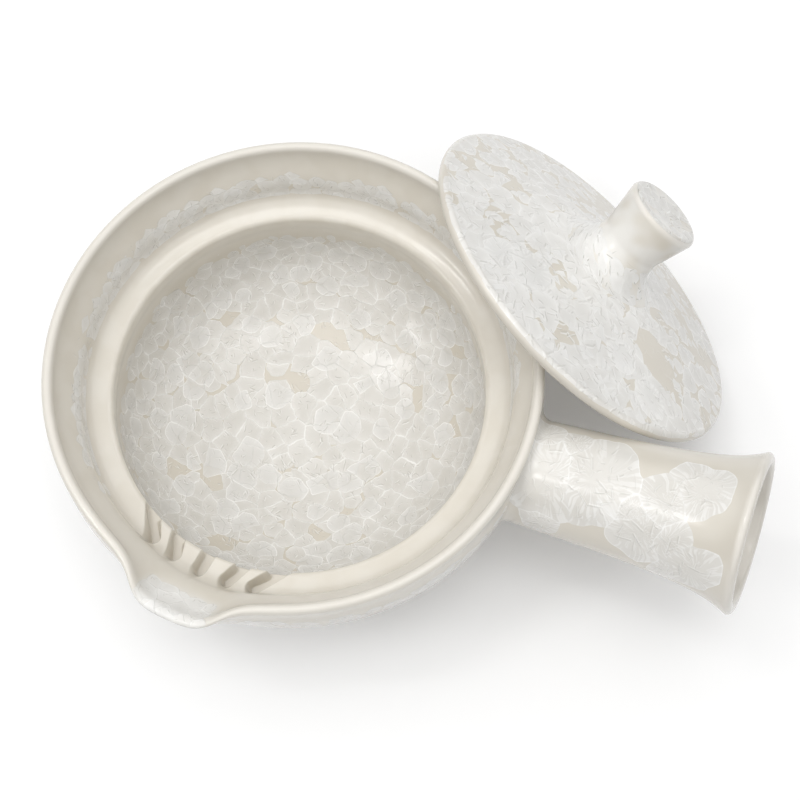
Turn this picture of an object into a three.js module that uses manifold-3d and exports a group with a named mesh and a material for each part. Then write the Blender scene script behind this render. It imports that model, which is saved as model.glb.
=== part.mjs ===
// Side-handled porcelain teapot, with its loose lid leaning on the rim.
// Millimetres, +Z up. The origin is the centre of the flat foot, on the table.
// The handle points along +X and the pouring lip along -Y.
import * as THREE from 'three';
import { mergeVertices } from 'three/addons/utils/BufferGeometryUtils.js';
import Module from 'manifold-3d';

const { clamp, degToRad, lerp } = THREE.MathUtils;
const wasm = await Module();
wasm.setup();

// Driving dimensions of the bowl
const rimRadius = 54.4;
const rimHeight = 51.5;
const lipThickness = 2.4;
const bellyBulge = 1;
const bellyDrop = 11;
const footRadius = 31;
const footHeight = 3.4;
const footBevel = 0.8;
const seatDepth = 16;
const seatInset = 5.8;
const seatWidth = 5.8;
const seatFillet = 3.2;
const seatEdgeRadius = 1.6;
const seatFall = 0.7;
const wellUndercut = 0.5;
const wellWidestDrop = 9;
const floorHeight = 8.2;

// Driving dimensions of the pinched pouring lip
const pourAngle = degToRad(-2.4);
const pourReach = 6.3;
const pourHalfWidth = 10;
const pourDrop = 1.5;
const pourRootDrop = 26;

// Driving dimensions of the strainer grooves cut through the lid seat
const grooveCount = 5;
const grooveWidth = 3.2;
const grooveDepth = 4.4;
const grooveFocusReach = 12.6;
const grooveFanAngle = degToRad(-4.5);
const groovePitch = degToRad(10.8);

// Driving dimensions of the handle
const handleLength = 51;
const handleTilt = degToRad(16.5);
const handleRootDrop = 16;
const handleRootRadius = 11.8;
const handleMouthRadius = 17.4;
const handleWall = 2.6;
const handleRootInset = 10;

// Driving dimensions of the lid and its knob
const lidClearance = 3.1;
const lidEdgeThickness = 3;
const lidConeHeight = 8.4;
const lidConeSwell = 0.3;
const lidWall = 3.4;
const lidSeatWidth = 5;
const knobHeight = 26.3;
const knobTopRadius = 9.6;
const knobNeckRadius = 7.3;
const knobFillet = 3.2;
const knobEdgeRadius = 1.5;
const knobDish = 0.5;

// Where the lid leans: its tilt, the way it faces and how far to one side of the bowl's axis
const leanTilt = degToRad(45);
const leanAzimuth = degToRad(51.1);
const leanOffset = -9.5;

// Clearances and the overrun that every cut shares
const seamGap = 0.3;
const restGap = 0.3;
const overrun = 2;

// Facet counts, and the counts of the search for the lid's leaning place
const bowlSegments = 76;
const handleSegments = 40;
const lidSegments = 60;
const knobSegments = 36;
const rimSamples = 721;
const halvings = 40;

const glaze = { roughness: 0.16, metalness: 0 };

// Closed solid from a three.js geometry: shared points merged, empty triangles at the poles dropped
function solidOf(geometry) {
  const bare = geometry.clone();
  bare.deleteAttribute('normal');
  bare.deleteAttribute('uv');
  const merged = mergeVertices(bare);
  const corners = merged.index.array;
  const triangles = [];
  for (let i = 0; i < corners.length; i += 3) {
    const [a, b, c] = corners.slice(i, i + 3);
    if (a !== b && b !== c && c !== a) triangles.push(a, b, c);
  }
  return new wasm.Manifold(new wasm.Mesh({
    numProp: 3,
    vertProperties: merged.attributes.position.array,
    triVerts: new Uint32Array(triangles),
  }));
}

function geometryOf(solid) {
  const { vertProperties, triVerts } = solid.getMesh();
  const geometry = new THREE.BufferGeometry();
  geometry.setAttribute('position', new THREE.BufferAttribute(vertProperties, 3));
  geometry.setIndex(new THREE.BufferAttribute(triVerts, 1));
  geometry.computeVertexNormals();
  return geometry;
}

function piece(name, geometry, color, finish = glaze) {
  const mesh = new THREE.Mesh(geometry, new THREE.MeshStandardMaterial({ color, ...finish }));
  mesh.name = name;
  return mesh;
}

// One outline from a chain of curves, each with its own number of steps
function outline(...spans) {
  const points = [];
  for (const [curve, steps] of spans) {
    for (const point of curve.getPoints(steps)) {
      const last = points[points.length - 1];
      if (!last || last.distanceTo(point) > 0) points.push(point);
    }
  }
  return points;
}

const at = (radius, height) => new THREE.Vector2(radius, height);
const line = (from, to) => new THREE.LineCurve(from, to);
const bend = (from, pull1, pull2, to) => new THREE.CubicBezierCurve(from, pull1, pull2, to);
const round = (centre, radius, start, end, clockwise = true) => (
  new THREE.EllipseCurve(centre.x, centre.y, radius, radius, start, end, clockwise)
);

// A turned body about +Z, whose first point of each ring faces -Y
function turned(points, segments) {
  return new THREE.LatheGeometry(points, segments).rotateX(Math.PI / 2);
}

// Bowl: the outside from the foot to the rim
const bellyRadius = rimRadius + bellyBulge;
const bellyHeight = rimHeight - bellyDrop;
const lipRadius = lipThickness / 2;
const lipCentre = at(rimRadius - lipRadius, rimHeight - lipRadius);
const lowerBellyShare = 0.36;
const footPullShare = 0.58;
const footRiseShare = 0.2;
const shoulderShare = 0.45;

function bowlOutside() {
  const bellyRise = bellyHeight - footHeight;
  const shoulder = lipCentre.y - bellyHeight;
  const belly = at(bellyRadius, bellyHeight);
  const pull = at(lerp(footRadius, bellyRadius, footPullShare), footHeight + footRiseShare * bellyRise);
  return outline(
    [line(at(0, 0), at(footRadius - footBevel, 0)), 1],
    [line(at(footRadius - footBevel, 0), at(footRadius, footBevel)), 1],
    [line(at(footRadius, footBevel), at(footRadius, footHeight)), 1],
    [bend(
      at(footRadius, footHeight),
      pull,
      at(bellyRadius, bellyHeight - lowerBellyShare * bellyRise),
      belly,
    ), 9],
    [bend(
      belly,
      at(bellyRadius, bellyHeight + shoulderShare * shoulder),
      at(rimRadius, lipCentre.y - shoulderShare * shoulder),
      at(rimRadius, lipCentre.y),
    ), 4],
  );
}

// Bowl: the inside from the rim down the wall, over the lid seat and into the well
const wallFootRadius = rimRadius - seatInset;
const seatInnerRadius = wallFootRadius - seatWidth;
const seatHeight = rimHeight - seatDepth;
const wellRadius = seatInnerRadius + wellUndercut;
const wallCurveShare = 0.4;
const wellNeckShare = 0.5;
const wellDropShare = 0.62;
const wellFloorShare = 0.72;

function bowlInside() {
  const innerLip = at(rimRadius - lipThickness, lipCentre.y);
  const wallFoot = at(wallFootRadius, seatHeight + seatFillet);
  const seatOuter = at(wallFootRadius - seatFillet, seatHeight);
  const seatEdge = at(seatInnerRadius + seatEdgeRadius, seatHeight - seatFall);
  const neck = at(seatInnerRadius, seatEdge.y - seatEdgeRadius);
  const widest = at(wellRadius, seatHeight - wellWidestDrop);
  const wellDepth = widest.y - floorHeight;
  return outline(
    [round(lipCentre, lipRadius, 0, Math.PI, false), 6],
    [bend(
      innerLip,
      at(innerLip.x, lerp(innerLip.y, wallFoot.y, wallCurveShare)),
      at(wallFoot.x, lerp(wallFoot.y, innerLip.y, wallCurveShare)),
      wallFoot,
    ), 6],
    [bend(wallFoot, at(wallFoot.x, seatOuter.y), at(wallFoot.x, seatOuter.y), seatOuter), 4],
    [line(seatOuter, seatEdge), 1],
    [round(at(seatEdge.x, neck.y), seatEdgeRadius, Math.PI / 2, Math.PI, false), 4],
    [bend(
      neck,
      at(neck.x, lerp(neck.y, widest.y, wellNeckShare)),
      at(widest.x, lerp(widest.y, neck.y, wellNeckShare)),
      widest,
    ), 2],
    [bend(
      widest,
      at(widest.x, widest.y - wellDropShare * wellDepth),
      at(wellFloorShare * wellRadius, floorHeight),
      at(0, floorHeight),
    ), 9],
  );
}

// Rings crowded towards the pouring lip, where the shape turns most
const crowdingShare = 0.52;

function crowded(geometry) {
  const position = geometry.attributes.position;
  for (let i = 0; i < position.count; i += 1) {
    const radius = Math.hypot(position.getX(i), position.getY(i));
    const turn = Math.atan2(position.getX(i), -position.getY(i));
    const bearing = pourAngle + turn - crowdingShare * Math.sin(turn);
    position.setXY(i, radius * Math.sin(bearing), -radius * Math.cos(bearing));
  }
  return geometry;
}

// The pinch: wall and rim are drawn out at the lip, most at the rim and less further down
const outerFadePower = 2.2;
const innerFadePower = 1.3;
const pinchPower = 5;
const dropPower = 3;

function pinched(geometry) {
  const position = geometry.attributes.position;
  for (let i = 0; i < position.count; i += 1) {
    const radius = Math.hypot(position.getX(i), position.getY(i));
    const bearing = Math.atan2(position.getX(i), -position.getY(i));
    const ahead = Math.cos(bearing - pourAngle);
    if (ahead <= 0) continue;
    const aside = radius * Math.sin(bearing - pourAngle);
    const pinch = 1 / (1 + Math.abs(aside / pourHalfWidth) ** pinchPower);
    const inside = radius < lipCentre.x;
    const fadeFrom = inside ? seatHeight : rimHeight - pourRootDrop;
    const rise = clamp((position.getZ(i) - fadeFrom) / (rimHeight - fadeFrom), 0, 1);
    const fade = rise ** (inside ? innerFadePower : outerFadePower);
    const drawn = radius + pourReach * pinch * fade * ahead ** 2;
    position.setXYZ(
      i,
      drawn * Math.sin(bearing),
      -drawn * Math.cos(bearing),
      position.getZ(i) - pourDrop * (pinch * rise) ** dropPower,
    );
  }
  return geometry;
}

// One strainer groove: a slot with a round outer end. It crosses the seat's inner edge at its own
// bearing and aims at a point beyond the pouring lip.
const grooveFocus = rimRadius + grooveFocusReach;

function grooveCutter(place) {
  const bearing = grooveFanAngle + place * groovePitch;
  const focus = at(grooveFocus * Math.sin(grooveFanAngle), -grooveFocus * Math.cos(grooveFanAngle));
  const crossing = at(seatInnerRadius * Math.sin(bearing), -seatInnerRadius * Math.cos(bearing));
  const aim = focus.clone().sub(crossing).normalize();
  const half = grooveWidth / 2;
  // From the crossing to the centre of the round end, which lies on its own circle about the bowl's axis
  const along = crossing.dot(aim);
  const length = Math.sqrt(along ** 2 + (wallFootRadius - half) ** 2 - seatInnerRadius ** 2) - along;
  const slot = new THREE.Shape();
  slot.moveTo(half, -overrun);
  slot.lineTo(half, length);
  slot.absarc(0, length, half, 0, Math.PI, false);
  slot.lineTo(-half, -overrun);
  const floor = seatHeight - grooveDepth;
  const top = seatHeight + seatFillet + overrun;
  const size = { depth: top - floor, bevelEnabled: false, curveSegments: 5 };
  const cutter = new THREE.ExtrudeGeometry(slot, size);
  cutter.rotateZ(Math.atan2(-aim.x, aim.y));
  cutter.translate(crossing.x, crossing.y, floor);
  return solidOf(cutter);
}

function potBody() {
  const clay = turned([...bowlOutside(), ...bowlInside().slice(1)], bowlSegments);
  let body = solidOf(pinched(crowded(clay)));
  for (let i = 0; i < grooveCount; i += 1) {
    body = body.subtract(grooveCutter(i - (grooveCount - 1) / 2));
  }
  return piece('pot_body', geometryOf(body), 0xe0dbd1);
}

// Handle: a hollow tube that flares to a round-lipped mouth, cut at its root to the bowl's side
const waistShare = 0.62;
const waistSwellShare = 0.16;
const flareShare = 0.86;
const flareSwellShare = 0.3;

function handleLine(inset) {
  const swell = handleMouthRadius - handleRootRadius;
  const mouth = handleLength - handleWall / 2;
  return bend(
    at(handleRootRadius - inset, -handleRootInset),
    at(handleRootRadius - inset + waistSwellShare * swell, waistShare * mouth),
    at(handleRootRadius - inset + flareSwellShare * swell, flareShare * mouth),
    at(handleMouthRadius - inset, mouth),
  );
}

function bowlEnvelope() {
  const outside = bowlOutside().filter((point) => point.y >= footHeight);
  const grown = outside.map((point) => at(point.x + seamGap, point.y));
  const top = rimHeight + overrun;
  const profile = [at(0, footHeight), ...grown, at(rimRadius + seamGap, top), at(0, top)];
  return solidOf(crowded(turned(profile, bowlSegments)));
}

function sideHandle() {
  const mouth = at(handleMouthRadius - handleWall / 2, handleLength - handleWall / 2);
  const wall = outline(
    [handleLine(0), 9],
    [round(mouth, handleWall / 2, 0, Math.PI, false), 6],
  );
  const bore = handleLine(handleWall).getPoints(7).reverse();
  const profile = [...wall, ...bore.slice(1), wall[0]];
  const tube = turned(profile, handleSegments);
  tube.rotateY(Math.PI / 2 - handleTilt);
  tube.translate(rimRadius, 0, rimHeight - handleRootDrop);
  return piece('side_handle', geometryOf(solidOf(tube).subtract(bowlEnvelope())), 0xe3ddd2);
}

// Lid plate: a shallow cone with a round edge, a flat ring that sits on the seat and a hollow under it.
// Its origin is the centre of the edge's middle circle, and the plate's axis is its own +Z.
const lidRadius = wallFootRadius - lidClearance;
const edgeRadius = lidEdgeThickness / 2;
const edgeCentreRadius = lidRadius - edgeRadius;
const hollowRadius = edgeCentreRadius - lidSeatWidth;
const coneTop = lidConeHeight + edgeRadius;
const coneSlope = lidConeHeight / edgeCentreRadius;
const hollowTop = coneTop - lidWall;
const hollowSlope = (hollowTop + edgeRadius) / hollowRadius;
const browRadius = edgeCentreRadius / 2;
const brow = at(browRadius, coneTop - coneSlope * browRadius + lidConeSwell);
const plateTop = new THREE.QuadraticBezierCurve(at(edgeCentreRadius, edgeRadius), brow, at(0, coneTop));

function lidPlate() {
  const profile = outline(
    [line(at(0, hollowTop), at(hollowRadius, -edgeRadius)), 3],
    [line(at(hollowRadius, -edgeRadius), at(edgeCentreRadius, -edgeRadius)), 1],
    [round(at(edgeCentreRadius, 0), edgeRadius, -Math.PI / 2, Math.PI / 2, false), 6],
    [plateTop, 7],
  );
  return piece('lid_plate', geometryOf(solidOf(turned(profile, lidSegments))), 0xe1dfd8);
}

// Knob: flared, with a fillet at its foot that follows the plate and a slightly dished top
function lidKnob() {
  const footOuter = knobNeckRadius + knobFillet;
  const under = plateTop.getPoints(lidSegments)
    .filter((point) => point.x < footOuter)
    .map((point) => at(point.x, point.y + seamGap));
  const skirt = under[0];
  const neck = at(knobNeckRadius, skirt.y + knobFillet);
  const brim = at(knobTopRadius, knobHeight - knobEdgeRadius);
  const edge = at(knobTopRadius - knobEdgeRadius, knobHeight - knobEdgeRadius);
  const profile = outline(
    [line(under[under.length - 1], skirt), 1],
    [new THREE.QuadraticBezierCurve(skirt, at(neck.x, skirt.y), neck), 4],
    [line(neck, brim), 1],
    [round(edge, knobEdgeRadius, 0, Math.PI / 2, false), 4],
    [new THREE.QuadraticBezierCurve(
      at(edge.x, knobHeight),
      at(edge.x / 2, knobHeight - knobDish),
      at(0, knobHeight - knobDish),
    ), 3],
  );
  return piece('lid_knob', geometryOf(solidOf(turned(profile, knobSegments))), 0xd9d2c4);
}

// Leaning place of the lid. Its low edge touches the table, and it slides in along the way it faces
// until the rounded rim is one rest gap away from the hollow under the plate.
function leanPlace() {
  const height = edgeCentreRadius * Math.sin(leanTilt) + edgeRadius;
  const hollowAngle = Math.atan(hollowSlope);
  const clearance = (forward) => {
    let least = Infinity;
    for (let i = 0; i < rimSamples; i += 1) {
      const angle = (i / rimSamples - 1 / 2) * Math.PI;
      const ahead = lipCentre.x * Math.cos(angle) - forward;
      const aside = lipCentre.x * Math.sin(angle) - leanOffset;
      const above = lipCentre.y - height;
      const across = ahead * Math.cos(leanTilt) - above * Math.sin(leanTilt);
      const up = ahead * Math.sin(leanTilt) + above * Math.cos(leanTilt);
      const radius = Math.hypot(across, aside);
      if (radius > lidRadius) continue;
      const overHollow = (hollowTop - hollowSlope * radius - up) * Math.cos(hollowAngle);
      const underSeat = -edgeRadius - up;
      least = Math.min(least, radius < hollowRadius ? overHollow : Math.max(overHollow, underSeat));
    }
    return least - lipRadius - restGap;
  };
  let near = rimRadius;
  let far = rimRadius + lidRadius;
  for (let i = 0; i < halvings; i += 1) {
    const middle = (near + far) / 2;
    if (clearance(middle) > 0) far = middle;
    else near = middle;
  }
  return new THREE.Vector3(far, leanOffset, height);
}

const lid = new THREE.Group();
lid.add(lidPlate(), lidKnob());
lid.position.copy(leanPlace());
lid.rotation.y = leanTilt;

const leaning = new THREE.Group();
leaning.add(lid);
leaning.rotation.z = leanAzimuth;

const teapot = new THREE.Group();
teapot.add(potBody(), sideHandle(), leaning);

export default teapot;
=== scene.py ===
"""Looks of a side-handled porcelain teapot with a crystalline glaze, its loose lid leaning on the rim.

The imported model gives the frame: metres, +Z up, origin at the centre of the foot, handle along +X and
pouring lip along -Y. Each section makes one piece, in the order in which the pot is put together.
"""
import math

import bpy
import numpy as np
from mathutils import Matrix, Vector


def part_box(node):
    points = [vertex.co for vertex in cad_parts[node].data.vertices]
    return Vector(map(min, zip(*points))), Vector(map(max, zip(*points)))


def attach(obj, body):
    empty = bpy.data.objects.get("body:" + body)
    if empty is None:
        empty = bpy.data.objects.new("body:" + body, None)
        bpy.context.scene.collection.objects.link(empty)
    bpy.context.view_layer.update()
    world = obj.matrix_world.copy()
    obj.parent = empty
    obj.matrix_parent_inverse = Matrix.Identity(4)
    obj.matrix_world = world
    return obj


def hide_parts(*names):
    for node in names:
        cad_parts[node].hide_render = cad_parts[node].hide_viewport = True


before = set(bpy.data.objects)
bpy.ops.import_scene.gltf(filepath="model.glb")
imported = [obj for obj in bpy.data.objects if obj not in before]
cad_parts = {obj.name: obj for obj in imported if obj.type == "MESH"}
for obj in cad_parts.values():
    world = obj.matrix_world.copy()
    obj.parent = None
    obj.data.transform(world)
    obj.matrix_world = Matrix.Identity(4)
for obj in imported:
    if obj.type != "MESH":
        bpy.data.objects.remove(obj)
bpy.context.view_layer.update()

# Photograph's viewpoint.
# A short standard lens looks down on the pot, from the side of the lip and a little towards the handle.
VIEW_AZIMUTH = math.radians(21.5)
VIEW_ELEVATION = math.radians(71.31)
VIEW_PLACE = (0.05351, -0.07301, 0.28380)
LENS_MM = 51.75
SENSOR_MM = 36.0

camera = bpy.data.objects.new("camera", bpy.data.cameras.new("camera"))
camera.data.sensor_width = SENSOR_MM
camera.data.lens = LENS_MM
camera.data.clip_start = 0.01
camera.data.clip_end = 20.0
camera.location = VIEW_PLACE
camera.rotation_euler = (math.pi / 2 - VIEW_ELEVATION, 0.0, VIEW_AZIMUTH)
bpy.context.scene.collection.objects.link(camera)
bpy.context.scene.camera = camera

# Pot body.
# Porcelain, thrown as one bowl with a ledge for the lid. The lip is pinched out of the soft rim and five
# strainer grooves are cut through the ledge behind it. Glazed all over but for the turned foot.
MM = 0.001
RIM_RADIUS = 54.4
RIM_HEIGHT = 51.5
LIP_RADIUS = 1.2
BELLY_RADIUS = RIM_RADIUS + 1.0
BELLY_HEIGHT = RIM_HEIGHT - 11.0
FOOT_RADIUS = 31.0
FOOT_HEIGHT = 3.4
FOOT_ROUND = 0.8
SEAT_HEIGHT = RIM_HEIGHT - 16.0
WALL_FOOT_RADIUS = RIM_RADIUS - 5.8
SEAT_INNER_RADIUS = WALL_FOOT_RADIUS - 5.8
SEAT_FILLET = 4.4
SEAT_EDGE_RADIUS = 1.2
SEAT_FALL = 0.6
WELL_RADIUS = SEAT_INNER_RADIUS + 0.5
WELL_WIDEST_HEIGHT = SEAT_HEIGHT - 9.0
FLOOR_HEIGHT = 8.2

POUR_BEARING = math.radians(-2.4)
POUR_REACH = 6.3
POUR_HALF_WIDTH = 10.0
POUR_DROP = 1.5
POUR_ROOT_HEIGHT = RIM_HEIGHT - 26.0

# Powers that square off the lip's outline and let it grow out of the wall, steeply inside and late outside
POUR_SQUARENESS = 5
POUR_RISE_INSIDE = 1.3
POUR_RISE_OUTSIDE = 2.2

GROOVE_COUNT = 5
GROOVE_HALF_WIDTH = 1.6
GROOVE_FLOOR = SEAT_HEIGHT - 4.4
GROOVE_PITCH = math.radians(10.8)
GROOVE_SOFT_EDGE = (1.0, 1.9)
FAN_BEARING = math.radians(-4.5)
FAN_FOCUS = RIM_RADIUS + 12.6
FAN_HALF_WIDTH = math.radians(28)
GROOVE_TOP = RIM_HEIGHT - 6
GROOVE_END_RADIUS = WALL_FOOT_RADIUS - GROOVE_HALF_WIDTH

# Rows of the bowl's mesh under the foot and over the rim's lip, and columns in the fan of grooves and behind
FOOT_ROWS = 14
LIP_ROWS = 14
FAN_COLUMNS = 236
BACK_COLUMNS = 172
BACK_CROWDING = 0.147


def bend(start, pull_1, pull_2, end, steps):
    """Points along a cubic curve, without its last point"""
    t = np.linspace(0.0, 1.0, steps, endpoint=False)[:, None]
    start, pull_1, pull_2, end = map(np.asarray, (start, pull_1, pull_2, end))
    return (1 - t) ** 3 * start + 3 * (1 - t) ** 2 * t * pull_1 + 3 * (1 - t) * t ** 2 * pull_2 + t ** 3 * end


def straight(start, end, steps):
    third = np.subtract(end, start) / 3
    return bend(start, start + third, end - third, end, steps)


def arc(centre, radius, first, last, steps):
    turn = np.linspace(first, last, steps, endpoint=False)
    return np.stack([centre[0] + radius * np.cos(turn), centre[1] + radius * np.sin(turn)], axis=1)


def smooth(low, high, value):
    """0 below low, 1 above high and a smooth rise between them"""
    t = np.clip((value - low) / (high - low), 0.0, 1.0)
    return t * t * t * (t * (6 * t - 15) + 10)


def lerp(a, b, share):
    return a + (b - a) * share


def wrapped(angle):
    return (angle + np.pi) % (2 * np.pi) - np.pi


def bowl_outside():
    rise = BELLY_HEIGHT - FOOT_HEIGHT
    lip_height = RIM_HEIGHT - LIP_RADIUS
    shoulder = 0.45 * (lip_height - BELLY_HEIGHT)
    return np.vstack([
        straight((0, 0), (FOOT_RADIUS - FOOT_ROUND, 0), FOOT_ROWS),
        arc((FOOT_RADIUS - FOOT_ROUND, FOOT_ROUND), FOOT_ROUND, -math.pi / 2, 0, 5),
        straight((FOOT_RADIUS, FOOT_ROUND), (FOOT_RADIUS, FOOT_HEIGHT), 4),
        bend(
            (FOOT_RADIUS, FOOT_HEIGHT),
            (lerp(FOOT_RADIUS, BELLY_RADIUS, 0.58), FOOT_HEIGHT + 0.2 * rise),
            (BELLY_RADIUS, BELLY_HEIGHT - 0.36 * rise),
            (BELLY_RADIUS, BELLY_HEIGHT),
            24,
        ),
        bend(
            (BELLY_RADIUS, BELLY_HEIGHT),
            (BELLY_RADIUS, BELLY_HEIGHT + shoulder),
            (RIM_RADIUS, lip_height - shoulder),
            (RIM_RADIUS, lip_height),
            10,
        ),
    ])


def bowl_inside():
    lip_centre = (RIM_RADIUS - LIP_RADIUS, RIM_HEIGHT - LIP_RADIUS)
    lip_inside = (RIM_RADIUS - 2 * LIP_RADIUS, lip_centre[1])
    seat_edge = (SEAT_INNER_RADIUS + SEAT_EDGE_RADIUS, SEAT_HEIGHT - SEAT_FALL)
    seat_middle = (seat_edge[0] + 1.0, SEAT_HEIGHT - SEAT_FALL + 0.25)
    wall_foot = (WALL_FOOT_RADIUS, SEAT_HEIGHT + SEAT_FILLET)
    neck = (SEAT_INNER_RADIUS, seat_edge[1] - SEAT_EDGE_RADIUS)
    widest = (WELL_RADIUS, WELL_WIDEST_HEIGHT)
    floor = (0.0, FLOOR_HEIGHT)
    return np.vstack([
        arc(lip_centre, LIP_RADIUS, 0, math.pi, LIP_ROWS),
        bend(
            lip_inside,
            (lip_inside[0], lerp(lip_inside[1], wall_foot[1], 0.4)),
            (wall_foot[0], lerp(wall_foot[1], lip_inside[1], 0.4)),
            wall_foot,
            16,
        ),
        bend(
            wall_foot,
            (wall_foot[0], wall_foot[1] - 0.75 * SEAT_FILLET),
            (seat_middle[0] + 0.5 * SEAT_FILLET, seat_middle[1] + 0.55),
            seat_middle,
            24,
        ),
        straight(seat_middle, seat_edge, 4),
        arc((seat_edge[0], neck[1]), SEAT_EDGE_RADIUS, math.pi / 2, math.pi, 8),
        bend(
            neck,
            (neck[0], lerp(neck[1], widest[1], 0.5)),
            (widest[0], lerp(widest[1], neck[1], 0.5)),
            widest,
            14,
        ),
        bend(
            widest,
            (WELL_RADIUS, widest[1] - 0.62 * (widest[1] - FLOOR_HEIGHT)),
            (0.72 * WELL_RADIUS, FLOOR_HEIGHT),
            floor,
            34,
        ),
        np.array([floor]),
    ])


def bowl_bearings():
    """Bearings of the bowl's columns from the fan's axis: close together in the fan, wide apart behind"""
    fan = np.linspace(-FAN_HALF_WIDTH, FAN_HALF_WIDTH, FAN_COLUMNS)
    t = np.linspace(0.0, 1.0, BACK_COLUMNS)[1:-1]
    back_width = 2 * math.pi - 2 * FAN_HALF_WIDTH
    behind = FAN_HALF_WIDTH + back_width * (t - BACK_CROWDING * np.sin(2 * math.pi * t))
    return np.concatenate([fan, behind])


def towards_focus(bearing, radius):
    """Bearing at which the line from the ledge's inner edge to the fan's focus crosses a circle"""
    start = np.stack([SEAT_INNER_RADIUS * np.sin(bearing), SEAT_INNER_RADIUS * np.cos(bearing)])
    way = np.stack([-start[0], FAN_FOCUS - start[1]])
    way /= np.hypot(way[0], way[1])
    along = (start * way).sum(0)
    reach = np.sqrt(along ** 2 + radius ** 2 - SEAT_INNER_RADIUS ** 2) - along
    return np.arctan2(start[0] + reach * way[0], start[1] + reach * way[1])


def groove_depths(radius, bearing):
    """1 on the floor of a strainer groove, 0 on the ledge, and between them on the glaze-softened edge"""
    x, y = radius * np.sin(bearing), radius * np.cos(bearing)
    sunk = np.zeros_like(x)
    for i in range(GROOVE_COUNT):
        crossing = (i - (GROOVE_COUNT - 1) / 2) * GROOVE_PITCH
        start = SEAT_INNER_RADIUS * np.array([math.sin(crossing), math.cos(crossing)])
        way = np.array([0.0, FAN_FOCUS]) - start
        way /= np.linalg.norm(way)
        along = (x - start[0]) * way[0] + (y - start[1]) * way[1]
        aside = (x - start[0]) * way[1] - (y - start[1]) * way[0]
        tangent = start @ way
        length = math.sqrt(tangent ** 2 + GROOVE_END_RADIUS ** 2 - SEAT_INNER_RADIUS ** 2) - tangent
        from_axis = np.hypot(np.maximum(along - length, 0.0), aside)
        sunk = np.maximum(sunk, 1 - smooth(*GROOVE_SOFT_EDGE, from_axis))
    return sunk * (np.abs(bearing) < FAN_HALF_WIDTH)


outside, inside = bowl_outside(), bowl_inside()
profile = np.vstack([outside, inside])
is_inside = (np.arange(len(profile)) >= len(outside) + LIP_ROWS // 2)[:, None]
radius, height = profile[:, :1], profile[:, 1:]
bearing = wrapped(bowl_bearings()[None, :] + np.zeros_like(radius))

# Columns lean to the fan's focus over the ledge, and run straight again in the well and at the rim
LEAN_FADES_UP = (SEAT_HEIGHT + 2, RIM_HEIGHT - 4)
LEAN_FADES_ROUND = (FAN_HALF_WIDTH - math.radians(4), FAN_HALF_WIDTH + math.radians(16))
over_ledge = is_inside * (1 - smooth(*LEAN_FADES_UP, height))
in_fan = 1 - smooth(*LEAN_FADES_ROUND, np.abs(bearing))
ahead_only = np.where(np.abs(bearing) < 1, bearing, 0)
lean = towards_focus(ahead_only, np.clip(radius, SEAT_INNER_RADIUS, WALL_FOOT_RADIUS)) - ahead_only
bearing = bearing + lean * over_ledge * in_fan

# In a groove the ledge's rings sink to its floor and spread out over it, a margin past its ends
FLOOR_MARGIN = 0.1
ledge_rows = is_inside[:, 0] & (profile[:, 1] > GROOVE_FLOOR) & (profile[:, 1] < GROOVE_TOP)
floor_rows = np.flatnonzero(ledge_rows & (profile[:, 0] < GROOVE_END_RADIUS + FLOOR_MARGIN))
spread = profile[:, 0].copy()
spread[floor_rows] = np.linspace(GROOVE_END_RADIUS, SEAT_INNER_RADIUS + FLOOR_MARGIN, len(floor_rows))
sunk = groove_depths(radius, bearing) * ledge_rows[:, None]
radius = lerp(radius, spread[:, None], sunk)
height = lerp(height, GROOVE_FLOOR, sunk)

# Pinch: wall and rim are drawn out at the lip, most at the rim and less further down
compass = bearing + FAN_BEARING
ahead = np.cos(compass - POUR_BEARING)
aside = radius * np.sin(compass - POUR_BEARING)
pinch = (ahead > 0) / (1 + np.abs(aside / POUR_HALF_WIDTH) ** POUR_SQUARENESS)
fade_from = np.where(is_inside, SEAT_HEIGHT, POUR_ROOT_HEIGHT)
rise = np.clip((height - fade_from) / (RIM_HEIGHT - fade_from), 0.0, 1.0)
rise_power = np.where(is_inside, POUR_RISE_INSIDE, POUR_RISE_OUTSIDE)
drawn = radius + POUR_REACH * pinch * ahead ** 2 * rise ** rise_power
dropped = height - POUR_DROP * (pinch * rise) ** 3
bowl_rings = np.stack([drawn * np.sin(compass), -drawn * np.cos(compass), dropped], axis=2)


def length_along(profile):
    """Length of a profile up to each of its points"""
    steps = np.linalg.norm(np.diff(profile, axis=0), axis=1)
    return np.concatenate([[0.0], np.cumsum(steps)])


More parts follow.
